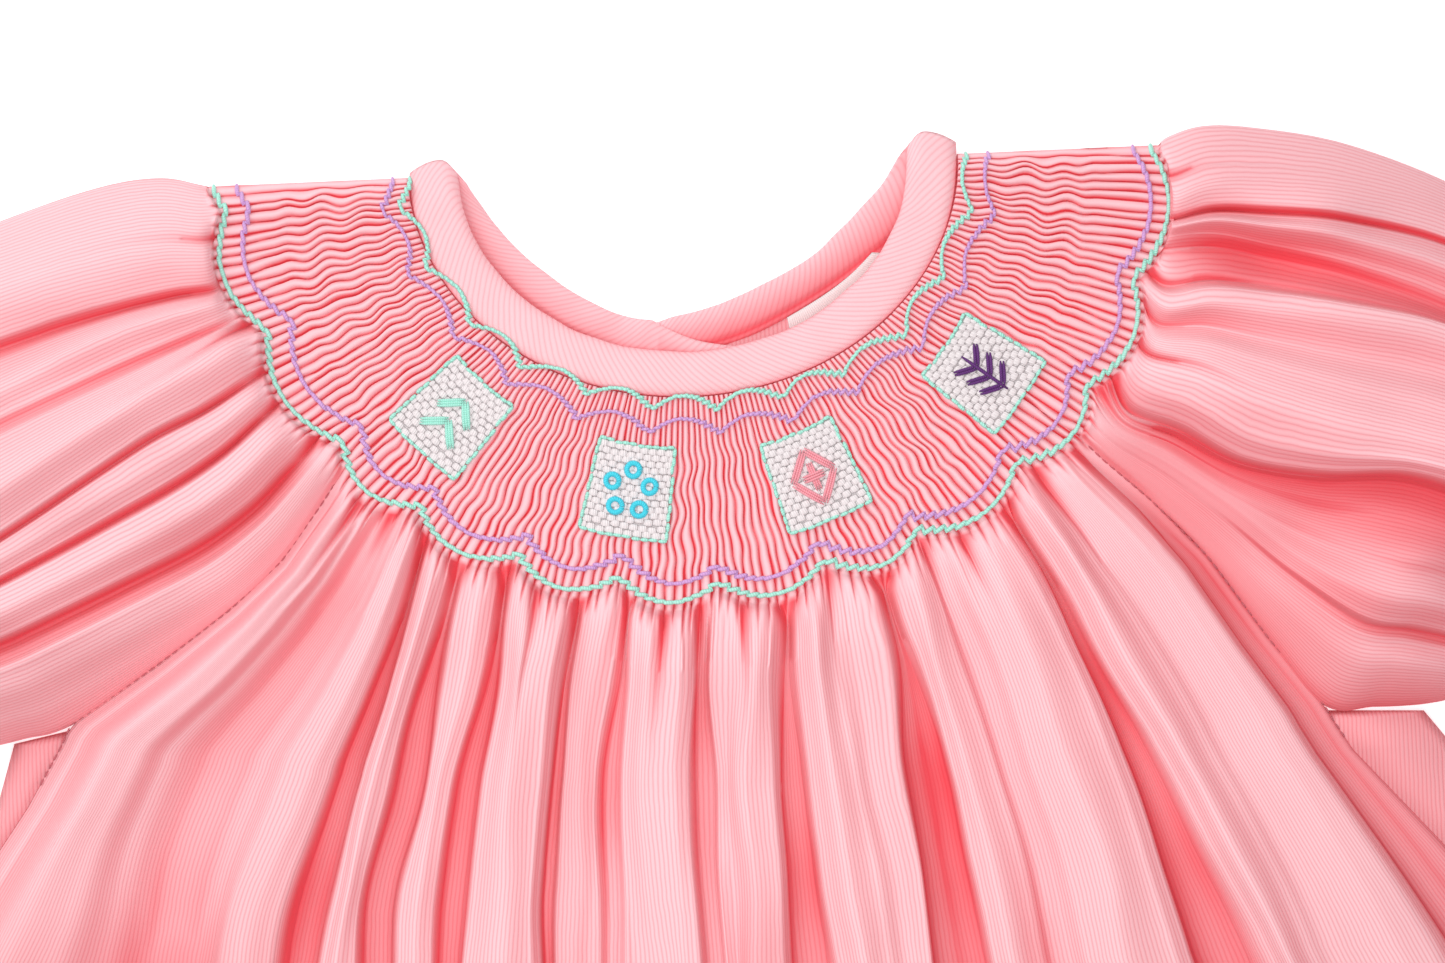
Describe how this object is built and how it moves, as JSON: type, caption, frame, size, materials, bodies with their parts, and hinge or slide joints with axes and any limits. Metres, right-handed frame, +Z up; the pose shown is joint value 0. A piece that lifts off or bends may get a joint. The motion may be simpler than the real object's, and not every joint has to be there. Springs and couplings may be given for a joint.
{
  "type": "child's smocked dress, laid flat",
  "caption": "Puff-sleeved child's dress laid flat, front up, with a round smocked yoke, a bias-bound neck and a full gathered skirt.",
  "frame": {"origin": "the middle of the box's underside, on the surface that the dress lies on", "axes": "+X from the wearer's left half to the right of the picture along the hem, +Y from hem to neck, +Z up out of the surface"},
  "size_m": [0.6264, 0.5754, 0.0308],
  "materials": {
    "pique": "fine-ribbed cotton pique with a soft sheen",
    "bias": "the same pique cut on the bias, folded and stitched",
    "label": "plain woven cotton"
  },
  "bodies": {
    "root": {"front": "pique", "back_left": "pique", "back_right": "pique", "sleeve_left": "pique", "sleeve_right": "pique", "cuff_left": "bias", "cuff_right": "bias", "neck_binding": "bias", "label": "label"}
  },
  "joints": []
}
